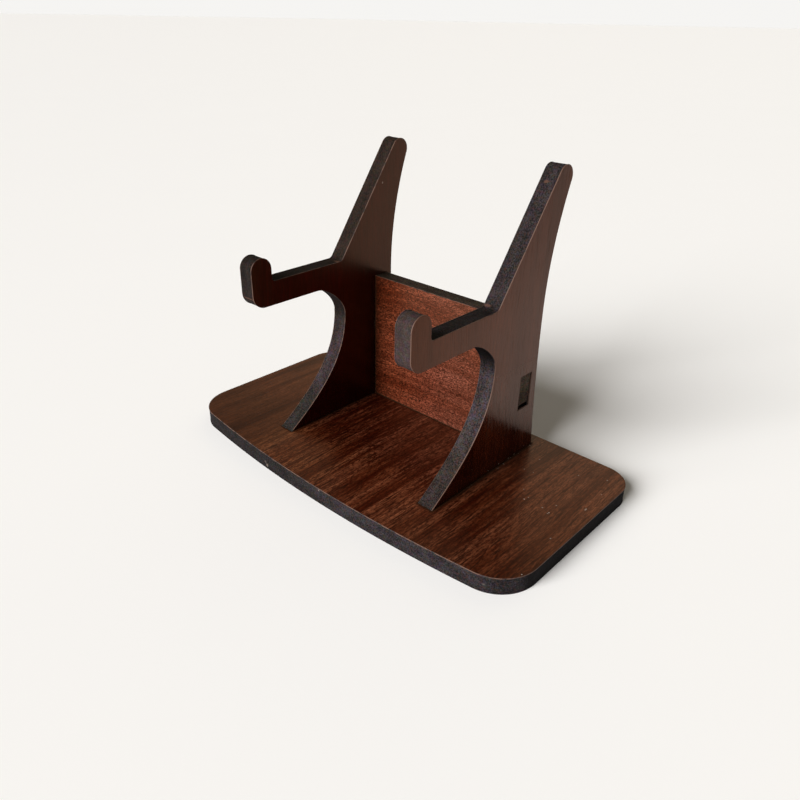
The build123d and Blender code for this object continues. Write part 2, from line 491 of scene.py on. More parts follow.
def bracket_loops(board, base, bracket, panel):
    """The bracket's outline in y and z, with its foot tabs, and the slot for the back panel."""
    rear, base_top = base.depth / 2, board.thickness
    heel = (rear - bracket.heel_setback, base_top)
    toe = (heel[0] - bracket.foot_length, base_top)
    waist = (rear - bracket.waist_setback, base_top + bracket.waist_height)
    arm_top = base_top + bracket.arm_height
    arm_under = arm_top - bracket.arm_width
    throat = (waist[0] - bracket.stem_width, arm_under - bracket.throat_drop)
    notch_start = (rear - bracket.notch_setback, arm_under)
    hook_back = rear - bracket.hook_inner_setback
    hook_front = hook_back - bracket.hook_width
    hook_radius = bracket.hook_width / 2
    hook_middle = (hook_back - hook_radius, arm_top + bracket.hook_height - hook_radius)
    upright_root = (rear - bracket.upright_setback, arm_top)

    # The tip touches the leaning front edge and the rear sweep, which is vertical at the waist
    radius = bracket.tip_radius
    lean = bracket.upright_lean
    tip_z = base_top + bracket.upright_height - radius
    tip_y = upright_root[0] + (tip_z - arm_top) * tan(lean) + radius / cos(lean)
    tip_front = (tip_y - radius * cos(lean), tip_z + radius * sin(lean))
    run, rise = tip_y - waist[0], tip_z - waist[1]
    sweep_radius = (run**2 + rise**2 - radius**2) / (2 * (run + radius))
    to_centre = np.array([sweep_radius - run, -rise])
    tip_back = np.array([tip_y, tip_z]) + radius * to_centre / hypot(*to_centre)
    tip_top = (tip_y, tip_z + radius)

    toe_guide = np.add(toe, bracket.toe_lead * np.array([cos(bracket.toe_angle), sin(bracket.toe_angle)]))
    tab_half, tab_end = bracket.foot_tab_length / 2, board.tab_recess
    tabs = []
    for middle in foot_tab_middles(base, bracket):
        low, high = middle - tab_half, middle + tab_half
        tabs += [np.array([(high, base_top), (high, tab_end)]), np.array([(high, tab_end), (low, tab_end)])]
        tabs.append(np.array([(low, tab_end), (low, base_top)]))
    outline = [
        cubic(toe, toe_guide, (throat[0], throat[1] - bracket.throat_lead_down), throat),
        cubic(
            throat,
            (throat[0], throat[1] + bracket.throat_lead_up),
            (notch_start[0] + bracket.notch_lead, arm_under),
            notch_start,
        ),
        rounded_corner(
            notch_start, (hook_front, arm_under), (hook_front, hook_middle[1]), bracket.hook_chin_radius
        ),
        arc(hook_middle, hook_radius, pi, -pi),
        rounded_corner(
            (hook_back, hook_middle[1]), (hook_back, arm_top), upright_root, bracket.hook_root_radius
        ),
        rounded_corner((hook_back, arm_top), upright_root, tip_front, bracket.upright_root_radius),
        arc_between((tip_y, tip_z), tip_front, tip_top),
        arc_between((tip_y, tip_z), tip_top, tip_back),
        leaving_arc(waist, (0, 1), tip_back)[::-1],
        leaving_arc(waist, (0, -1), heel),
        *tabs,
    ]
    slot_height = panel.tab_height + panel.tab_play + 2 * board.clearance
    slot_middle = (
        panel.front + board.thickness / 2,
        base_top + panel.tab_rise + (panel.tab_height - panel.tab_play) / 2,
    )
    slot = rectangle(slot_middle, (board.thickness + 2 * board.clearance, slot_height))
    step = board.outline_step
    return [even_loop(join_sides(outline), step), even_loop(slot, step, hole=True)]


def panel_loops(board, bracket, panel):
    """The back panel's outline in x and z: a rectangle with a tab at each end."""
    low, high = board.thickness, board.thickness + panel.height
    tab_low = low + panel.tab_rise
    tab_high = tab_low + panel.tab_height
    side = bracket.inner_face
    reach = side + board.thickness - board.tab_recess
    tab = [(side, tab_low), (reach, tab_low), (reach, tab_high), (side, tab_high)]
    right = [(side, low), *tab, (side, high)]
    left = [(-x, z) for x, z in reversed(right)]
    corners = np.array(right + left)
    sides = [np.array([start, end]) for start, end in zip(corners, np.roll(corners, -1, axis=0))]
    return [even_loop(sides, board.outline_step)]


class Nodes:
    """Adds nodes to one tree. Most methods return the new node's output, and each value given to them is a
    plain number, a row of numbers or another node's output."""

    def __init__(self, tree):
        self.tree = tree

    def feed(self, inputs, values):
        """Links outputs to inputs, or sets the inputs' plain values."""
        for key, value in values.items():
            if isinstance(value, bpy.types.NodeSocket):
                self.tree.links.new(value, inputs[key])
            else:
                inputs[key].default_value = value

    def node(self, kind, sockets=None, **settings):
        """A node of any kind, returned whole."""
        made = self.tree.nodes.new(kind)
        for key, value in settings.items():
            setattr(made, key, value)
        self.feed(made.inputs, sockets or {})
        return made

    def calculate(self, operation, *values, clamp=False):
        sockets = dict(enumerate(values))
        return self.node("ShaderNodeMath", sockets, operation=operation, use_clamp=clamp).outputs[0]

    def plus(self, first, second):
        return self.calculate("ADD", first, second)

    def minus(self, first, second):
        return self.calculate("SUBTRACT", first, second)

    def times(self, first, second):
        return self.calculate("MULTIPLY", first, second)

    def over(self, first, second):
        return self.calculate("DIVIDE", first, second)

    def times_plus(self, value, factor, added, clamp=False):
        return self.calculate("MULTIPLY_ADD", value, factor, added, clamp=clamp)

    def vector(self, operation, *values):
        made = self.node("ShaderNodeVectorMath", dict(enumerate(values)), operation=operation)
        return made.outputs["Value" if operation in ("LENGTH", "DOT_PRODUCT") else "Vector"]

    def combine(self, x, y, z):
        return self.node("ShaderNodeCombineXYZ", {"X": x, "Y": y, "Z": z}).outputs[0]

    def noise(self, place, scale, detail, roughness=0.5, output=0):
        """Noise at a place times a scale, which makes one grain of the noise a unit long."""
        place = self.vector("MULTIPLY", place, scale)
        sockets = {"Vector": place, "Scale": 1.0, "Detail": detail, "Roughness": roughness}
        return self.node("ShaderNodeTexNoise", sockets).outputs[output]

    def ramp(self, value, low, high):
        """Runs smoothly from 0 at low to 1 at high."""
        sockets = {"Value": value, "From Min": low, "From Max": high}
        return self.node("ShaderNodeMapRange", sockets, interpolation_type="SMOOTHSTEP").outputs[0]

    def blend(self, share, first, second):
        """The first colour at share 0 and the second at 1."""
        sockets = {"Factor": share, 6: first, 7: second}
        return self.node("ShaderNodeMix", sockets, data_type="RGBA").outputs[2]

    def bump(self, height, strength, distance):
        sockets = {"Height": height, "Strength": strength, "Distance": distance}
        return self.node("ShaderNodeBump", sockets).outputs[0]

    def shared(self, name, sockets):
        """The outputs of a shared node group placed with its own values, built when it is first asked for."""
        group = bpy.data.node_groups.get(name) or SHARED_GROUPS[name]()
        return self.node("ShaderNodeGroup", sockets, node_tree=group).outputs


def new_group(name, inputs, outputs):
    """A node group with named sockets. An input's default gives its kind: one number, a vector of three or a
    colour of four. An output is a number, apart from Color."""
    tree = bpy.data.node_groups.new(name, "ShaderNodeTree")
    kinds = {1: "NodeSocketFloat", 3: "NodeSocketVector", 4: "NodeSocketColor"}
    for label, default in inputs.items():
        socket = tree.interface.new_socket(label, in_out="INPUT", socket_type=kinds[np.size(default)])
        socket.default_value = default
    for label in outputs:
        tree.interface.new_socket(label, in_out="OUTPUT", socket_type=kinds[4 if label == "Color" else 1])
    given = tree.nodes.new("NodeGroupInput").outputs
    result = tree.nodes.new("NodeGroupOutput").inputs
    return Nodes(tree), given, result


def walnut_grain_group():
    """Straight walnut grain along X of its input, in metres: noise stretched along the grain. Wide bands
    carry the colour from middle to bright, streaks and short flecks darken it, and pores are fine and dark.
    Contrast scales them all, the bands by half as much."""
    inputs = {
        "Grain Place": ORIGIN,
        "Deep": BLACK,
        "Middle": BLACK,
        "Bright": BLACK,
        "Band Width": 0.006,
        "Band Contrast": 1.0,
        "Streak Width": 0.0016,
        "Streak Strength": 0.6,
        "Fleck Length": 0.0022,
        "Fleck Width": 0.00055,
        "Fleck Strength": 0.5,
        "Fibre Length": 0.005,
        "Fibre Width": 0.00028,
        "Fibre Contrast": 0.25,
        "Pore Strength": 0.5,
        "Contrast": 1.0,
    }
    nodes, given, result = new_group("walnut_grain", inputs, ("Color", "Height", "Gloss Loss"))
    place, contrast = given["Grain Place"], given["Contrast"]
    sway = nodes.noise(place, (14.0, 30.0, 30.0), 1.0)
    sway = nodes.times(nodes.minus(sway, 0.5), 0.006)
    place = nodes.vector("ADD", place, nodes.combine(0.0, sway, 0.0))

    def grain(length, width, detail, roughness=0.5):
        """Noise with grains of a length along the board and a width across it."""
        across = nodes.over(1.0, width)
        return nodes.noise(place, nodes.combine(nodes.over(1.0, length), across, across), detail, roughness)

    band = grain(0.12, given["Band Width"], 3.0, 0.6)
    streak = grain(0.015, given["Streak Width"], 4.0, 0.6)
    fleck = grain(given["Fleck Length"], given["Fleck Width"], 2.0, 0.6)
    fibre = grain(given["Fibre Length"], given["Fibre Width"], 2.0)
    pore = grain(0.0070, 0.00036, 1.5)

    band_contrast = nodes.times(given["Band Contrast"], nodes.times_plus(contrast, 0.5, 0.5))
    band = nodes.times_plus(nodes.minus(band, 0.5), band_contrast, 0.5)
    body = nodes.blend(nodes.ramp(band, 0.36, 0.66), given["Middle"], given["Bright"])
    dark = nodes.times(nodes.ramp(streak, 0.46, 0.60), nodes.times(given["Streak Strength"], contrast))
    dark = nodes.times_plus(nodes.ramp(band, 0.47, 0.33), 0.7, dark, clamp=True)
    body = nodes.blend(dark, body, given["Deep"])
    flecks = nodes.times(nodes.ramp(fleck, 0.48, 0.62), nodes.times(given["Fleck Strength"], contrast))
    body = nodes.blend(flecks, body, given["Deep"])
    fibre_away = nodes.times(nodes.minus(fibre, 0.5), 4.0)
    fibre_share = nodes.times(given["Fibre Contrast"], contrast)
    body = nodes.vector("MULTIPLY", body, nodes.times_plus(fibre_away, fibre_share, 1.0))
    pores = nodes.ramp(pore, 0.54, 0.64)
    pore_share = nodes.times(nodes.times(pores, contrast), given["Pore Strength"])
    body = nodes.blend(pore_share, body, nodes.vector("MULTIPLY", given["Deep"], (0.5, 0.5, 0.5)))
    height = nodes.minus(nodes.times(fibre, 0.35), pores)
    nodes.feed(result, {"Color": body, "Height": height, "Gloss Loss": nodes.times(pores, 0.1)})
    return nodes.tree


def charred_edge_group():
    """Laser char along a run, in metres: fine lines across the board's thickness, broken by grains of ash
    and brown fibre, in patches of slightly different hue. Graininess 0 leaves the middle of soot and ash."""
    inputs = {"Run": ORIGIN, "Soot": BLACK, "Ash": BLACK, "Umber": BLACK, "Gain": 1.0, "Graininess": 1.0}
    nodes, given, result = new_group("charred_edge", inputs, ("Color", "Height"))
    run, grainy = given["Run"], given["Graininess"]
    lines = nodes.noise(run, (2200.0, 500.0, 1.0), 2.0, 0.6)
    grains = nodes.noise(run, (2000.0, 2200.0, 1.0), 2.0, 0.7)
    blotch = nodes.noise(run, (160.0, 350.0, 1.0), 3.0, 0.6)
    fibres = nodes.noise(run, (1100.0, 1400.0, 1.0), 2.0)
    mixed = nodes.times_plus(lines, 0.15, nodes.times(blotch, 0.25))
    mixed = nodes.times_plus(grains, 0.60, mixed)
    ash_away = nodes.minus(nodes.ramp(mixed, 0.43, 0.60), 0.5)
    burnt = nodes.blend(nodes.times_plus(ash_away, grainy, 0.5), given["Soot"], given["Ash"])
    brown = nodes.times(nodes.ramp(fibres, 0.50, 0.64), nodes.times(grainy, 0.7))
    burnt = nodes.blend(brown, burnt, given["Umber"])
    hues = nodes.noise(run, (650.0, 650.0, 1.0), 1.0, output="Color")
    hues = nodes.vector("MULTIPLY_ADD", hues, (0.8, 0.8, 0.8), (0.6, 0.6, 0.6))
    # The gain paints light and shade on the char
    burnt = nodes.vector("MULTIPLY", nodes.vector("MULTIPLY", burnt, hues), given["Gain"])
    nodes.feed(result, {"Color": burnt, "Height": nodes.times(mixed, grainy)})
    return nodes.tree


def edge_wear_group():
    """A broken line of wear along a run, in metres: 1 where the bare facing sheet shows."""
    nodes, given, result = new_group("edge_wear", {"Run": ORIGIN, "Amount": 0.5}, ["Mask"])
    worn = nodes.noise(given["Run"], (420.0, 900.0, 1.0), 3.0, 0.6)
    low = nodes.minus(0.72, nodes.times(given["Amount"], 0.5))
    nodes.feed(result, {"Mask": nodes.ramp(worn, low, nodes.plus(low, 0.2))})
    return nodes.tree


def dust_group():
    """Sparse specks on a surface: round cells of which only some carry a speck, each of its own size."""
    inputs = {"Place": ORIGIN, "Spacing": 0.004, "Size": 0.0003, "Share": 0.3}
    nodes, given, result = new_group("dust_specks", inputs, ["Mask"])
    apart = given["Spacing"]
    place = nodes.vector("DIVIDE", given["Place"], nodes.combine(apart, apart, apart))
    cells = nodes.node("ShaderNodeTexVoronoi", {"Vector": place, "Scale": 1.0}, feature="F1").outputs
    pick = nodes.node("ShaderNodeSeparateColor", {"Color": cells["Color"]}).outputs
    kept = nodes.calculate("LESS_THAN", pick["Red"], given["Share"])
    own_size = nodes.times_plus(pick["Green"], 0.8, 0.5)
    reach = nodes.over(nodes.times(given["Size"], own_size), apart)
    speck = nodes.ramp(nodes.over(cells["Distance"], reach), 1.0, 0.5)
    nodes.feed(result, {"Mask": nodes.times(speck, kept)})
    return nodes.tree


def nearness_group():
    """1 in a box and 0 a reach away from it: where painted shade lies beside another board, where painted
    light and shade tint a zone, or where dust lies.
    """
    inputs = {"Place": ORIGIN, "Low Corner": ORIGIN, "High Corner": ORIGIN, "Reach": 0.001}
    nodes, given, result = new_group("nearness", inputs, ["Mask"])
    below = nodes.vector("SUBTRACT", given["Low Corner"], given["Place"])
    above = nodes.vector("SUBTRACT", given["Place"], given["High Corner"])
    outside = nodes.vector("MAXIMUM", nodes.vector("MAXIMUM", below, above), ORIGIN)
    nodes.feed(result, {"Mask": nodes.ramp(nodes.vector("LENGTH", outside), given["Reach"], 0.0)})
    return nodes.tree


def mark_group():
    """One speck, nick or painted highlight: 1 in an ellipsoid round the centre, with a ragged border."""
    inputs = {"Place": ORIGIN, "Centre": ORIGIN, "Half Size": (1.0, 1.0, 1.0)}
    nodes, given, result = new_group("mark", inputs, ["Mask"])
    spokes = nodes.vector("SUBTRACT", given["Place"], given["Centre"])
    away = nodes.vector("LENGTH", nodes.vector("DIVIDE", spokes, given["Half Size"]))
    ragged = nodes.noise(given["Place"], (2500.0, 2500.0, 2500.0), 1.0)
    nodes.feed(result, {"Mask": nodes.ramp(nodes.plus(away, ragged), 1.7, 1.0)})
    return nodes.tree


SHARED_GROUPS = {
    "walnut_grain": walnut_grain_group,
    "charred_edge": charred_edge_group,
    "edge_wear": edge_wear_group,
    "dust_specks": dust_group,
    "nearness": nearness_group,
    "mark": mark_group,
}


def new_material(name):
    """A material, its nodes, its Principled shader's inputs and the Object coordinates."""
    material = bpy.data.materials.new(name)
    material.use_nodes = True
    nodes = Nodes(material.node_tree)
    place = nodes.node("ShaderNodeTexCoord").outputs["Object"]
    return material, nodes, material.node_tree.nodes["Principled BSDF"].inputs, place


def tinted(colour, gain):
    """A colour with each channel times its gain, opaque."""
    return (*(value * share for value, share in zip(colour[:3], gain)), 1.0)


def nearness(nodes, place, low, high, reach):
    """The nearness group's mask of one zone."""
    sockets = {"Place": place, "Low Corner": low, "High Corner": high, "Reach": reach}
    return nodes.shared("nearness", sockets)["Mask"]


def box_gain(nodes, place, boxes):
    """One factor from several zones: each is a zone and the factor inside it."""
    gain = 1.0
    for box, factor in boxes:
        share = nearness(nodes, place, *box)
        gain = nodes.times(nodes.times_plus(share, factor - 1.0, 1.0), gain)
    return gain


def with_light_and_shade(nodes, colour, place, light_and_shade):
    """Paints light and shade onto a colour in zones: each is a zone and the factors of red, green and blue
    inside it.
    """
    for box, factors in light_and_shade:
        toned = nodes.vector("MULTIPLY", colour, factors)
        colour = nodes.blend(nearness(nodes, place, *box), colour, toned)
    return colour


def with_marks(nodes, colour, place, mark_colour, marks):
    """Lays specks, nicks and painted highlights over a colour: each is a centre and three half sizes, in
    millimetres, and a strength."""
    for centre, half_size, strength in marks:
        metres = [[value / 1000 for value in row] for row in (centre, half_size)]
        mask = nodes.shared("mark", {"Place": place, "Centre": metres[0], "Half Size": metres[1]})["Mask"]
        colour = nodes.blend(nodes.times(mask, strength), colour, mark_colour)
    return colour


def walnut_material(name, finish, look):
    """Satin walnut facing. In its look, turn and origin lay the grain on the board, gain tints it per board
    and so paints how lit or shaded that board is, sheen tints its gloss, and grain sets the grain group's own
    sockets. Its light and shade tint zones of it with painted light and shade, and contrast scales the grain
    in zones. Each shade is a zone of painted shade, a darkness and an added roughness; each area of dust a
    zone, a spacing, a size and a share; marks are single specks."""
    material, nodes, shader, place = new_material(name)
    laid = {"Vector": place, "Location": look["origin"], "Rotation": look["turn"]}
    sockets = {
        "Grain Place": nodes.node("ShaderNodeMapping", laid, vector_type="POINT").outputs[0],
        "Deep": tinted(finish.walnut_deep, look["gain"]),
        "Middle": tinted(finish.walnut_middle, look["gain"]),
        "Bright": tinted(finish.walnut_bright, look["gain"]),
        "Contrast": box_gain(nodes, place, look.get("contrast", ())),
        **look["grain"],
    }
    grain = nodes.shared("walnut_grain", sockets)
    colour = with_light_and_shade(nodes, grain["Color"], place, look.get("light_and_shade", ()))
    rough = nodes.plus(finish.walnut_roughness, grain["Gloss Loss"])
    for box, darkness, roughening in look["shades"]:
        share = nearness(nodes, place, *box)
        colour = nodes.blend(nodes.times(share, darkness), colour, SHADE_COLOUR)
        rough = nodes.times_plus(share, roughening, rough, clamp=True)
    for box, spacing, size, some in look.get("dust", ()):
        share = nodes.times(nearness(nodes, place, *box), some)
        sockets = {"Place": place, "Spacing": spacing, "Size": size, "Share": share}
        colour = nodes.blend(nodes.shared("dust_specks", sockets)["Mask"], colour, finish.dust)
    colour = with_marks(nodes, colour, place, finish.dust, look.get("marks", ()))
    bump = nodes.bump(grain["Height"], 0.2, 0.00004)
    nodes.feed(shader, {"Base Color": colour, "Roughness": rough, "Normal": bump})
    nodes.feed(shader, {"IOR": 1.5, "Specular Tint": (*look["sheen"], 1.0)})
    return material


def edge_material(name, finish, edge, wear=None):
    """The fibreboard core, burnt by the laser. With wear it is the facing sheet's cut side and worn arris
    instead: bare sheet broken by char, and char alone where painted shade darkens the char to a fifth or
    less. The char's gain paints light and shade on it zone by zone. Nicks and painted highlights have the
    bare sheet's colour and flecks the dust's."""
    material, nodes, shader, place = new_material(name)
    run = nodes.node("ShaderNodeUVMap", uv_map=RUN_MAP).outputs[0]
    # Painted light and shade of the char, zone by zone
    gain = box_gain(nodes, place, edge["light_and_shade_gain"])
    sockets = {
        "Run": run,
        "Soot": tinted(finish.soot, edge["hue_and_light_tint"]),
        "Ash": tinted(finish.ash, edge["hue_and_light_tint"]),
        "Umber": tinted(finish.umber, edge["hue_and_light_tint"]),
        "Gain": gain,
        "Graininess": box_gain(nodes, place, edge["grainy"]),
    }
    char = nodes.shared("charred_edge", sockets)
    colour = with_light_and_shade(nodes, char["Color"], place, edge["light_and_shade"])
    if wear is None:
        bump = nodes.bump(char["Height"], 0.6, 0.0001)
        nodes.feed(shader, {"Roughness": 0.8, "Specular IOR Level": 0.08, "Normal": bump})
    else:
        worn = nodes.shared("edge_wear", {"Run": run, "Amount": wear})["Mask"]
        # No bare sheet where painted shade leaves the char darkest
        bare = nodes.times(worn, nodes.ramp(gain, 0.20, 0.40))
        colour = nodes.blend(bare, colour, finish.facing)
        nodes.feed(shader, {"Roughness": 0.6, "Specular IOR Level": 0.3})
    colour = with_marks(nodes, colour, place, finish.facing, edge["nicks_and_highlights"])
    colour = with_marks(nodes, colour, place, finish.dust, edge["flecks"])
    nodes.feed(shader, {"Base Color": colour})
    return material


def board_materials(board_name, finish, face, edge):
    """The faces' walnut, the facing's side on the laser's far face, the core, and the facing's side on the
    face that the laser entered. The edge's wear is how much bare sheet shows on each side."""
    edge = {"light_and_shade_gain": (), "grainy": (), "light_and_shade": (), "nicks_and_highlights": (), "flecks": (), **edge}
    sides = {"far_facing": edge["wear"][0], "core": None, "near_facing": edge["wear"][1]}
    walnut = walnut_material(f"walnut_{board_name}", finish, face)
    cut = [edge_material(f"{board_name}_{side}", finish, edge, bare) for side, bare in sides.items()]
    return [walnut, *cut]


def zone(reach, x=EVERYWHERE, y=EVERYWHERE, z=EVERYWHERE):
    """A box over these stretches: its low and high corners, and the reach over which it fades outside."""
    return *zip(x, y, z), reach


def base_looks(board, base, bracket, panel):
    """The base's top and edges. Painted shade darkens it under the boards that stand on it, and painted light
    and shade darken it towards its left.
    """
    heel = base.depth / 2 - bracket.heel_setback
    foot = (heel - bracket.foot_length, heel)
    inner, outer = bracket.inner_face, bracket.inner_face + board.thickness
    left_part = {"x": (-FAR, -0.020), "y": (-FAR, 0.0)}

    # Each speck of dust has its x and y and its half sizes, in millimetres
    specks = (
        (37.9, 15.2, 0.24, 0.32),
        (38.0, 11.7, 0.20, 0.24),
        (45.3, 26.4, 0.28, 0.24),
        (60.3, 27.3, 0.24, 0.24),
        (68.8, 31.5, 0.24, 0.32),
        (71.3, 22.9, 0.24, 0.24),
        (55.0, 4.9, 0.24, 0.24),
        (61.2, 3.5, 0.32, 0.28),
        (63.8, 7.5, 0.28, 0.28),
        (71.6, 12.2, 0.28, 0.72),
        (64.0, 2.0, 0.36, 0.20),
        (71.2, -7.7, 0.24, 0.32),
    )
    face = {
        "turn": (0, 0, radians(-90)),
        "origin": (0.31, 0.12, 0.0),
        # The gain sets the base's painted light on the shared walnut colours
        "gain": (1.16, 1.13, 1.10),
        "sheen": (1.0, 0.43, 0.18),
        "grain": {
            "Band Width": 0.005,
            "Band Contrast": 1.05,
            "Streak Width": 0.0008,
            "Streak Strength": 0.70,
            "Fleck Length": 0.0016,
            "Fleck Width": 0.00045,
            "Fleck Strength": 0.85,
            "Fibre Length": 0.0012,
            "Fibre Width": 0.00036,
            "Fibre Contrast": 0.6,
            "Pore Strength": 1.0,
        },
        # Painted light and shade: darker between the brackets and towards the left, lighter and more olive at
        # the front
        "light_and_shade": [
            (zone(0.012, x=(-0.031, 0.031), y=(-0.004, 0.022)), (0.87, 0.82, 0.92)),
            (zone(0.014, x=(-0.028, 0.028), y=(-0.040, -0.024)), (1.32, 1.32, 1.32)),
            (zone(0.008, x=(-0.034, -0.006), y=(-0.040, -0.022)), (1.06, 1.13, 1.02)),
            (zone(0.018, x=(-FAR, -0.048)), (0.78, 0.70, 0.60)),
            (zone(0.010, x=(-FAR, -0.034), y=(-FAR, -0.014)), (0.74, 0.74, 0.66)),
        ],
        "contrast": [
            (zone(0.022, x=(-FAR, -0.042)), 0.60),
            (zone(0.016, x=(0.052, FAR), y=(-0.010, FAR)), 0.8),
            (zone(0.008, x=(-0.030, 0.030), y=(-0.012, 0.022)), 1.4),
        ],
        "shades": [
            (zone(0.0010, x=(-outer, -inner), y=foot), 1.0, 0.6),
            (zone(0.0014, x=(inner, outer), y=foot), 1.0, 0.6),
            (zone(0.0011, x=(-inner, inner), y=(panel.front, panel.front + board.thickness)), 1.0, 0.6),
        ],
        "dust": [
            (zone(0.012, x=(0.048, 0.076), y=(-0.025, 0.036)), 0.0032, 0.00022, 0.15),
            (zone(0.0012, x=(inner, outer), y=(-0.004, heel)), 0.0012, 0.00030, 0.9),
        ],
        "marks": [((x, y, 6.0), (half_x, half_y, 1.0), 0.45) for x, y, half_x, half_y in specks],
    }
    edge = {
        # The char's hue and painted light for this board's edges: slightly darker and cooler
        "hue_and_light_tint": (0.90, 0.92, 0.97),
        "wear": (0.1, 0.7),
        # Painted shade: darker edges towards the left and along the right side
        "light_and_shade_gain": [
            (zone(0.040, **left_part), 0.55),
            (zone(0.003, x=(0.073, FAR), y=(-0.024, FAR)), 0.32),
        ],
        # Painted light: the edges a little warmer towards the left
        "light_and_shade": [(zone(0.040, **left_part), (1.02, 1.02, 0.95))],
        # The long nick along the top of the right side is a painted highlight in the facing's colour
        "nicks_and_highlights": [((75.5, 4.0, 6.0), (0.8, 60.0, 0.45), 0.85)],
        "flecks": [
            ((-26.6, -38.45, 2.4), (0.6, 0.8, 0.7), 0.10),
            ((-25.7, -38.45, 1.4), (0.6, 0.8, 0.7), 0.22),
            ((2.7, -39.1, 5.2), (0.4, 0.8, 0.4), 0.25),
            ((66.6, -34.7, 2.8), (0.6, 0.8, 0.5), 0.15),
        ],
    }
    return face, edge


def bracket_stretches(board, bracket, panel):
    """Stretches of space that both brackets' looks are laid in."""
    base_top, inner = board.thickness, bracket.inner_face
    panel_depth = (panel.front, panel.front + board.thickness)
    tab_low = base_top + panel.tab_rise
    return {
        "foot": {"z": (-FAR, base_top)},
        "panel": {"x": (-inner, inner), "y": panel_depth, "z": (-FAR, base_top + panel.height)},
        "slot": {"y": panel_depth, "z": (tab_low - panel.tab_play, tab_low + panel.tab_height)},
        "hook": {"y": (-FAR, -0.026), "z": (0.050, FAR)},
        "arm_top": {"y": (-0.026, 0.002), "z": (0.064, 0.066)},
    }


def left_bracket_looks(part):
    """The left bracket's faces and edges, in shade on the side that the photo shows."""
    face = {
        # The gain paints this board in deep shade: the shared walnut colours made much darker and redder
        "gain": (0.33, 0.045, 0.07),
        "sheen": (1.0, 0.38, 0.14),
        # Painted shade in the corner by the panel and the base
        "light_and_shade": [(zone(0.030, y=(0.012, FAR), z=(-FAR, 0.040)), (0.50, 0.35, 0.35))],
        "shades": [
            (zone(0.0006, **part["foot"]), 0.9, 0.6),
            (zone(0.0006, **part["panel"]), 0.9, 0.6),
            (zone(0.0010, **part["slot"]), 1.0, 0.0),
        ],
        "dust": [(zone(0.05, z=(-FAR, 0.02)), 0.006, 0.00025, 0.03)],
        "marks": [((-31.2, 25.4, 89.6), (1.0, 0.3, 0.4), 0.6), ((-31.2, 21.3, 36.4), (1.0, 0.2, 2.2), 0.08)],
    }
    edge = {
        # The char's hue and painted shade for this board's edges: darker and warmer
        "hue_and_light_tint": (0.71, 0.61, 0.49),
        "wear": (0.6, 0.72),
        # Painted light and shade: darker hook and arm top, lighter low front, darkest inside the slot
        "light_and_shade_gain": [
            (zone(0.006, **part["hook"]), 0.75),
            (zone(0.001, **part["arm_top"]), 0.7),
            (zone(0.008, y=(-FAR, 0.004), z=(0.010, 0.040)), 1.25),
            (zone(0.0010, **part["slot"]), 0.3),
        ],
        # Painted light and shade: warmer at the top of the upright, paler low in front, darker under the arm
        "light_and_shade": [
            (zone(0.006, y=(0.003, FAR), z=(0.066, FAR)), (0.99, 0.91, 0.78)),
            (zone(0.008, y=(-FAR, 0.004), z=(-FAR, 0.040)), (0.96, 1.20, 1.26)),
            (zone(0.008, y=(-FAR, 0.008), z=(0.021, 0.036)), (1.45, 1.18, 1.45)),
            (zone(0.004, y=(-0.010, 0.010), z=(0.046, 0.058)), (0.80, 0.76, 0.80)),
        ],
        "nicks_and_highlights": [
            ((-34.2, -34.2, 60.4), (3.6, 0.8, 0.25), 0.8),
            ((-32.5, 3.6, 65.1), (1.5, 0.7, 0.5), 0.7),
            ((-31.4, 7.9, 69.4), (0.5, 0.5, 0.9), 0.6),
        ],
    }
    return face, edge


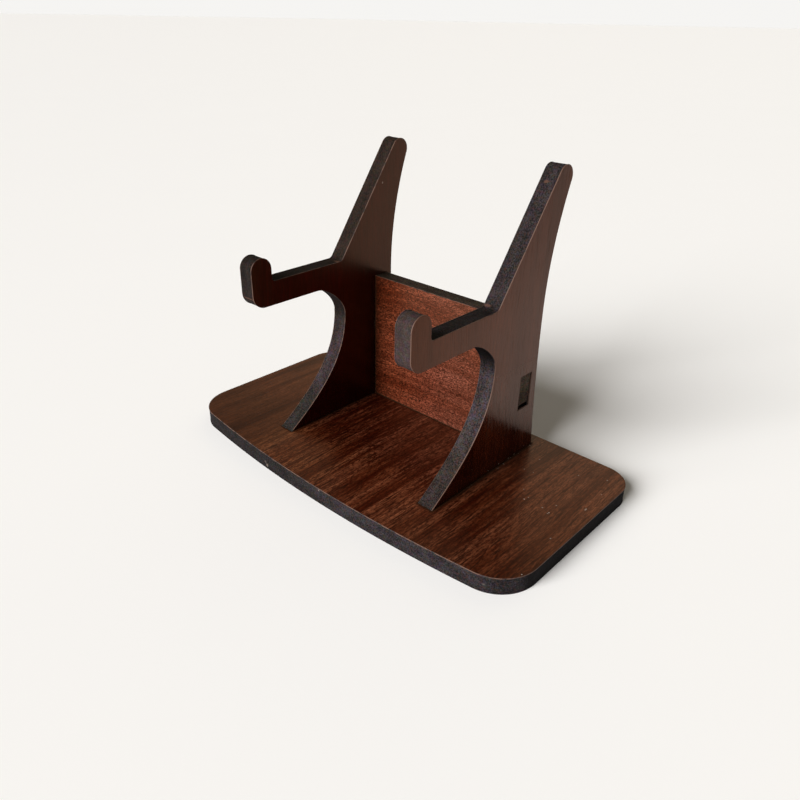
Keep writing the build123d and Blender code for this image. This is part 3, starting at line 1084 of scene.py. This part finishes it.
def right_bracket_looks(part):
    """The right bracket's faces and edges, calmer above the arm and dusty at the foot."""
    face = {
        # The gain paints this board's shade: the shared walnut colours made darker and more orange
        "gain": (0.68, 0.38, 0.22),
        "sheen": (1.0, 0.30, 0.03),
        "contrast": [(zone(0.012, z=(0.045, FAR)), 0.40)],
        "shades": [
            (zone(0.0011, **part["foot"]), 1.0, 0.6),
            (zone(0.0006, **part["panel"]), 0.9, 0.6),
            (zone(0.0010, **part["slot"]), 1.0, 0.0),
            (zone(0.0006, **part["slot"]), 1.0, 0.7),
            (zone(0.045, z=(0.095, FAR)), 0.0, 0.16),
            (zone(0.012, z=(-FAR, 0.032)), 0.0, -0.10),
        ],
        "dust": [
            (zone(0.014, y=(-0.010, 0.040), z=(0.006, 0.018)), 0.0022, 0.00024, 0.40),
            (zone(0.0012, y=(-0.004, 0.034), z=(0.006, 0.0064)), 0.0012, 0.00028, 0.9),
        ],
    }
    edge = {
        # The char's hue and painted light for this board's edges: lighter
        "hue_and_light_tint": (1.40, 1.34, 1.32),
        "wear": (0.1, 0.95),
        # Painted shade: darker on top of the upright, at the bottom and on the arm's top, nearly black under
        # the arm, dark inside the slot
        "light_and_shade_gain": [
            (zone(0.006, y=(0.003, FAR), z=(0.062, FAR)), 0.66),
            (zone(0.010, y=(-0.010, 0.007), z=(0.051, 0.058)), 0.12),
            (zone(0.009, z=(-FAR, 0.007)), 0.74),
            (zone(0.001, **part["arm_top"]), 0.48),
            (zone(0.0010, **part["slot"]), 0.3),
        ],
        # Painted light and shade: a warmer, lighter hook, a darker foot, a bluer front of the stem
        "light_and_shade": [
            (zone(0.006, **part["hook"]), (1.12, 0.96, 0.85)),
            (zone(0.012, z=(-FAR, 0.015)), (0.93, 0.91, 0.80)),
            (zone(0.010, y=(-0.010, 0.012), z=(0.030, 0.050)), (1.02, 1.04, 1.10)),
        ],
        "grainy": [(zone(0.006, y=(-FAR, -0.024), z=(0.050, FAR)), 0.45)],
        "nicks_and_highlights": [
            ((32.4, 5.4, 65.6), (1.4, 0.7, 0.5), 0.6),
            ((33.7, 29.0, 99.1), (1.0, 0.8, 0.5), 0.6),
            ((36.6, 24.2, 24.6), (0.9, 1.0, 0.6), 0.6),
        ],
    }
    return face, edge


def panel_looks(board, inner):
    """The back panel's faces and edges. Painted shade darkens its left, beside the bracket's inner face."""
    left_end = {"x": (-FAR, -inner)}
    right_end = {"x": (inner, FAR)}
    face = {
        "turn": (0, 0, 0),
        "origin": (0.7, 0.0, 0.0),
        # The gain paints this board lighter, for the light on its front
        "gain": (1.36, 1.22, 1.60),
        "sheen": (1.0, 0.43, 0.18),
        "grain": {
            "Band Width": 0.010,
            "Band Contrast": 0.5,
            "Streak Width": 0.0009,
            "Streak Strength": 0.4,
            "Fleck Length": 0.0013,
            "Fleck Width": 0.00036,
            "Fleck Strength": 0.75,
            "Fibre Length": 0.0007,
            "Fibre Width": 0.00030,
            "Fibre Contrast": 1.45,
        },
        # Painted shade at the left end beside the bracket, warmer painted light towards the left and cooler
        # towards the right
        "light_and_shade": [
            (zone(0.018, **left_end), (0.86, 0.80, 0.72)),
            (zone(0.0045, **left_end), (0.55, 0.55, 0.55)),
            (zone(0.020, x=(-FAR, -0.018)), (1.05, 0.98, 0.80)),
            (zone(0.020, x=(0.012, FAR)), (1.0, 1.14, 1.22)),
        ],
        "shades": [
            (zone(0.0007, z=(-FAR, board.thickness)), 0.9, 0.6),
            (zone(0.0009, **left_end), 0.9, 0.6),
            (zone(0.0006, **right_end), 0.9, 0.6),
        ],
    }
    edge = {
        # The char's hue and painted light for this board's edges: lighter and warmer
        "hue_and_light_tint": (1.20, 1.07, 0.72),
        "wear": (0.1, 0.6),
        # Painted light: the right tab's end lighter
        "light_and_shade_gain": [
            (zone(0.001, z=(-FAR, 0.040), **right_end), 2.4),
            (zone(0.005, z=(0.033, 0.040), **right_end), 1.4),
        ],
        "nicks_and_highlights": [((36.8, 24.2, 25.9), (0.6, 0.9, 0.4), 0.5)],
    }
    return face, edge


class STAND_OT_base_board(bpy.types.Operator):
    """Make the bowed base with its four slots"""

    bl_idname = "stand.base_board"
    bl_label = "Base board"

    def execute(self, context):
        scene = context.scene
        board, base, bracket = scene.stand_board, scene.stand_base, scene.stand_bracket
        looks = base_looks(board, base, bracket, scene.stand_panel)
        materials = board_materials("base", scene.stand_finish, *looks)
        loops = base_loops(board, base, bracket)
        board_piece(
            "base_board",
            "base_plate",
            loops,
            lambda u, v, w: np.stack([u, v, w], -1),
            board,
            materials,
            seed=11,
        )
        return {"FINISHED"}


class STAND_OT_bracket_boards(bpy.types.Operator):
    """Make the two hooked brackets"""

    bl_idname = "stand.bracket_boards"
    bl_label = "Bracket boards"

    def execute(self, context):
        scene = context.scene
        board, bracket, panel = scene.stand_board, scene.stand_bracket, scene.stand_panel
        loops = bracket_loops(board, scene.stand_base, bracket, panel)
        part = bracket_stretches(board, bracket, panel)
        sides = {
            "left": (-bracket.inner_face - board.thickness, left_bracket_looks(part)),
            "right": (bracket.inner_face, right_bracket_looks(part)),
        }
        grain = {
            "Band Width": 0.008,
            "Band Contrast": 0.7,
            "Streak Width": 0.0010,
            "Streak Strength": 0.7,
            "Fleck Strength": 0.6,
            "Fibre Contrast": 0.5,
        }
        for seed, (side, (start, (face, edge))) in enumerate(sides.items(), 21):
            face.update(turn=(0, radians(90), 0), origin=(0.07 * seed, 0.0, 0.0), grain=grain)
            board_piece(
                f"{side}_bracket_board",
                f"{side}_bracket",
                loops,
                lambda u, v, w, start=start: np.stack([start + w, u, v], -1),
                board,
                board_materials(side, scene.stand_finish, face, edge),
                seed,
            )
        return {"FINISHED"}


class STAND_OT_back_panel_board(bpy.types.Operator):
    """Make the back panel with its end tabs"""

    bl_idname = "stand.back_panel_board"
    bl_label = "Back panel board"

    def execute(self, context):
        scene = context.scene
        board, bracket, panel = scene.stand_board, scene.stand_bracket, scene.stand_panel
        back = panel.front + board.thickness
        board_piece(
            "back_panel_board",
            "back_panel",
            panel_loops(board, bracket, panel),
            lambda u, v, w: np.stack([u, back - w, v], -1),
            board,
            board_materials("panel", scene.stand_finish, *panel_looks(board, bracket.inner_face)),
            seed=31,
        )
        return {"FINISHED"}


def make_floor(scene, studio):
    """A pale floor with a faint mottle, wide enough to meet the horizon."""
    half = studio.floor_half
    corners = [(-half, -half, 0), (half, -half, 0), (half, half, 0), (-half, half, 0)]
    mesh = bpy.data.meshes.new("floor")
    mesh.from_pydata(corners, [], [(0, 1, 2, 3)])
    material, nodes, shader, place = new_material("pale_floor")
    mottle = nodes.noise(place, (9.0, 9.0, 9.0), 3.0)
    darker = tinted(studio.floor_colour, (0.99, 0.99, 0.99))
    nodes.feed(shader, {"Base Color": nodes.blend(mottle, darker, studio.floor_colour), "Roughness": 0.8})
    mesh.materials.append(material)
    floor = bpy.data.objects.new("floor", mesh)
    scene.collection.objects.link(floor)


def make_window(scene, studio):
    """A wide, soft sun in the window's place."""
    light = bpy.data.lights.new("window", "SUN")
    light.energy = studio.window_strength
    light.color = studio.window_colour[:3]
    light.angle = studio.window_width
    turn, rise = studio.window_azimuth, studio.window_elevation
    towards = Vector((-sin(turn) * cos(rise), -cos(turn) * cos(rise), sin(rise)))
    window = bpy.data.objects.new("window", light)
    window.rotation_euler = towards.to_track_quat("Z", "Y").to_euler()
    window.location = towards
    scene.collection.objects.link(window)


def make_sky(scene, studio):
    """What the boards reflect: a dim room with a lit wall behind, and a pale band along the horizon that
    dims towards the right. The camera sees one plain pale colour instead."""
    world = bpy.data.worlds.new("sky")
    world.use_nodes = True
    scene.world = world
    nodes = Nodes(world.node_tree)
    direction = nodes.node("ShaderNodeTexCoord").outputs["Generated"]
    parts = nodes.node("ShaderNodeSeparateXYZ", {"Vector": direction}).outputs
    across, height = parts["X"], parts["Z"]
    turn = studio.wall_azimuth
    wall_side = nodes.vector("DOT_PRODUCT", direction, (-sin(turn), cos(turn), 0.0))
    on_wall = nodes.times(nodes.ramp(wall_side, 0.3, 0.9), nodes.ramp(across, 0.45, 0.1))
    wall = nodes.blend(nodes.ramp(across, -0.65, -0.35), studio.wall_colour, studio.wall_pale_colour)
    above = nodes.blend(on_wall, studio.room_colour, wall)
    horizon = nodes.blend(nodes.ramp(across, -0.15, 0.35), studio.horizon_colour, studio.dim_colour)
    colour = nodes.blend(nodes.ramp(height, 0.03, 0.12), horizon, above)
    seen = nodes.node("ShaderNodeLightPath").outputs["Is Camera Ray"]
    colour = nodes.blend(seen, colour, studio.backdrop_colour)
    nodes.feed(world.node_tree.nodes["Background"].inputs, {"Color": colour})


def make_camera(scene, studio):
    """The camera at the photo's place, turned, tipped and rolled like the photo's own."""
    lens = bpy.data.cameras.new("camera")
    lens.sensor_width = 36.0
    lens.lens = studio.camera_lens
    lens.clip_start, lens.clip_end = 0.01, 200.0
    camera = bpy.data.objects.new("camera", lens)
    camera.location = studio.camera_place
    unrolled = Euler((pi / 2 - studio.camera_elevation, 0, studio.camera_azimuth)).to_quaternion()
    camera.rotation_mode = "QUATERNION"
    camera.rotation_quaternion = unrolled @ Quaternion((0, 0, 1), studio.camera_roll)
    scene.collection.objects.link(camera)
    scene.camera = camera


class STAND_OT_studio(bpy.types.Operator):
    """Make the pale floor, the window's light, the sky and the camera"""

    bl_idname = "stand.studio"
    bl_label = "Studio"

    def execute(self, context):
        scene = context.scene
        for make in (make_floor, make_window, make_sky, make_camera):
            make(scene, scene.stand_studio)
        scene.view_settings.view_transform = "Standard"
        return {"FINISHED"}


GROUPS = {
    "stand_board": BoardSettings,
    "stand_base": BaseSettings,
    "stand_bracket": BracketSettings,
    "stand_panel": PanelSettings,
    "stand_finish": FinishSettings,
    "stand_studio": StudioSettings,
}
OPERATORS = (STAND_OT_base_board, STAND_OT_bracket_boards, STAND_OT_back_panel_board, STAND_OT_studio)


class STAND_PT_sidebar(bpy.types.Panel):
    """Lists the stand's sizes, finishes and pieces"""

    bl_idname = "STAND_PT_sidebar"
    bl_label = "Game Controller Stand"
    bl_space_type = "VIEW_3D"
    bl_region_type = "UI"
    bl_category = "Stand"

    def draw(self, context):
        for operator in OPERATORS:
            self.layout.operator(operator.bl_idname)
        for attribute, group in GROUPS.items():
            box = self.layout.box()
            box.label(text=group.bl_rna.name)
            for name in group.__annotations__:
                box.prop(getattr(context.scene, attribute), name)


def register():
    """Makes the settings, the operators and the sidebar known to Blender."""
    for attribute, group in GROUPS.items():
        bpy.utils.register_class(group)
        setattr(bpy.types.Scene, attribute, PointerProperty(type=group))
    for made in (*OPERATORS, STAND_PT_sidebar):
        bpy.utils.register_class(made)


def unregister():
    """Takes out what register put in, in the opposite order."""
    for made in (STAND_PT_sidebar, *reversed(OPERATORS)):
        bpy.utils.unregister_class(made)
    for attribute, group in reversed(GROUPS.items()):
        delattr(bpy.types.Scene, attribute)
        bpy.utils.unregister_class(group)


def main():
    """Makes the studio and the boards."""
    register()
    bpy.ops.stand.studio()
    bpy.ops.stand.base_board()
    bpy.ops.stand.bracket_boards()
    bpy.ops.stand.back_panel_board()


if __name__ == "__main__":
    main()
